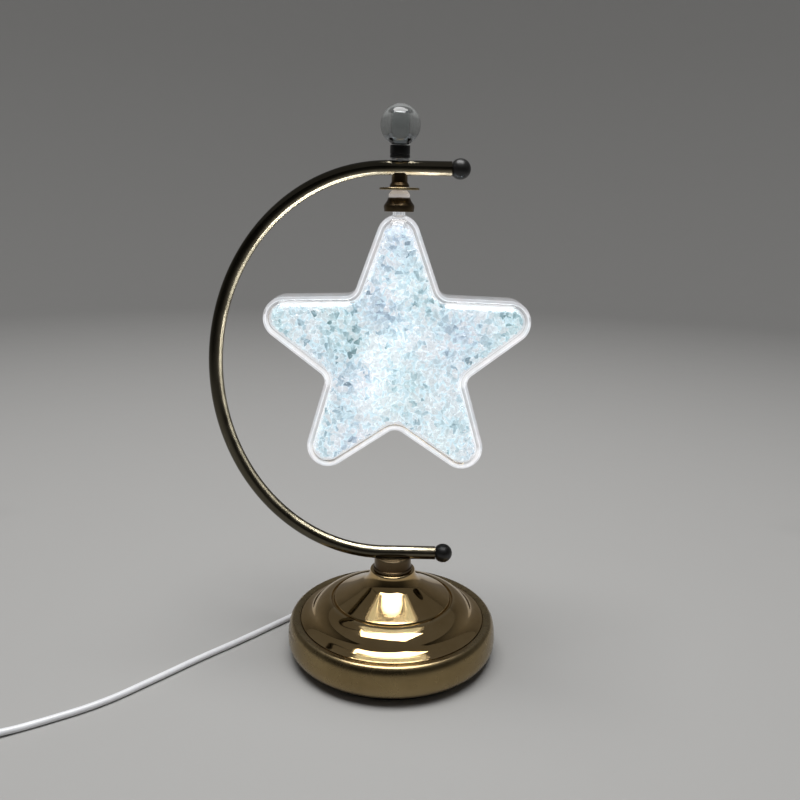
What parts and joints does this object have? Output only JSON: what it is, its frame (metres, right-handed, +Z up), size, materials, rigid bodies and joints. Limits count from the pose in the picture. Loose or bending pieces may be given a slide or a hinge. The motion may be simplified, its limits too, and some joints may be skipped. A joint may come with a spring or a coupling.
{
  "type": "hanging star night lamp",
  "caption": "Table night lamp: a star of crackled glass lit from inside hangs from a C-shaped gold tube arm on a round weighted base, with a crystal ball finial.",
  "frame": {"origin": "centre of the round base, on the surface that the lamp stands on", "axes": "+Z up, +X towards the open side of the C-shaped arm, +Y towards the back of the star; the star lies in the XZ plane"},
  "size_m": [0.3752, 0.2453, 0.3038],
  "materials": {
    "gold_polished": "polished gold plate with faint turning marks",
    "gold_satin": "satin champagne-gold plate",
    "bronze": "dark bronze plate, polished",
    "black_gloss": "black moulded plastic, smooth",
    "clear_glass": "clear colourless glass, smooth outside",
    "ice_glass": "crushed-glass lining, white to pale blue, lit from inside",
    "white_plastic": "white circuit-board laminate and moulding",
    "lamp": "LED chips, cold white when lit",
    "steel": "zinc-plated steel",
    "iron": "cast iron weight, unpainted",
    "felt": "dark felt pad",
    "cord_vinyl": "silver-grey PVC sheath, slightly glossy",
    "grey_plastic": "light grey moulded plastic, fine grain",
    "red_wire": "PVC insulated inner lead"
  },
  "bodies": {
    "stand": {"felt_pad": "felt", "bottom_plate": "steel", "plate_screw_1": "steel", "plate_screw_2": "steel", "plate_screw_3": "steel", "base_ring": "gold_satin", "base_dome": "gold_polished", "ballast_weight": "iron", "nipple_washer": "steel", "nipple_nut": "steel", "base_nipple": "steel", "arm_coupling": "gold_satin", "arm_tube": "gold_polished", "end_cap_upper": "black_gloss", "end_cap_lower": "black_gloss", "finial_stud": "steel", "holder_neck": "bronze", "hanging_stem": "steel", "stem_cone_nut": "grey_plastic", "led_board": "white_plastic", "led_chip_front_1": "lamp", "led_chip_front_2": "lamp", "led_chip_front_3": "lamp", "led_chip_back_1": "lamp", "led_chip_back_2": "lamp", "led_chip_back_3": "lamp", "inner_lead": "red_wire", "strain_relief": "cord_vinyl", "cord_near": "cord_vinyl", "cord_mid": "cord_vinyl", "cord_tail": "cord_vinyl", "cord_coil": "cord_vinyl", "coil_tie": "black_gloss", "switch_base": "grey_plastic", "switch_cover": "grey_plastic", "switch_screw_1": "steel", "switch_screw_2": "steel", "plug_grip": "grey_plastic", "plug_shell": "steel", "plug_tongue": "white_plastic"},
    "shade": {"canopy_disc": "gold_satin", "holder_barrel": "gold_polished", "gallery_cap": "bronze", "star_shell_front": "clear_glass", "star_shell_back": "clear_glass", "ice_lining_front": "ice_glass", "ice_lining_back": "ice_glass"},
    "finial_washer": {"collar_washer": "steel"},
    "finial": {"finial_collar": "black_gloss", "crystal_ball": "clear_glass"},
    "rocker": {"switch_rocker": "black_gloss"}
  },
  "joints": [
    {"name": "shade_swivel", "type": "hinge", "parent": "stand", "child": "shade", "pos_m": [0, 0, 0.25], "axis": [0, 0, 1], "continuous": true},
    {"name": "finial_lift", "type": "slide", "parent": "stand", "child": "finial_washer", "axis": [0, 0, 1], "range_m": [0, 0.0049]},
    {"name": "finial_turn", "type": "hinge", "parent": "finial_washer", "child": "finial", "pos_m": [0, 0, 0.28], "axis": [0, 0, 1], "range_deg": [0, 2160]},
    {"name": "switch_rocker_tilt", "type": "hinge", "parent": "stand", "child": "rocker", "pos_m": [-0.2239, -0.1073, 0.0094], "axis": [0.5, -0.866, 0], "range_deg": [0, 14]}
  ],
  "couplings": [
    {"joint": "finial_lift", "follows": "finial_turn", "m_per_rad": 0.00012732}
  ]
}
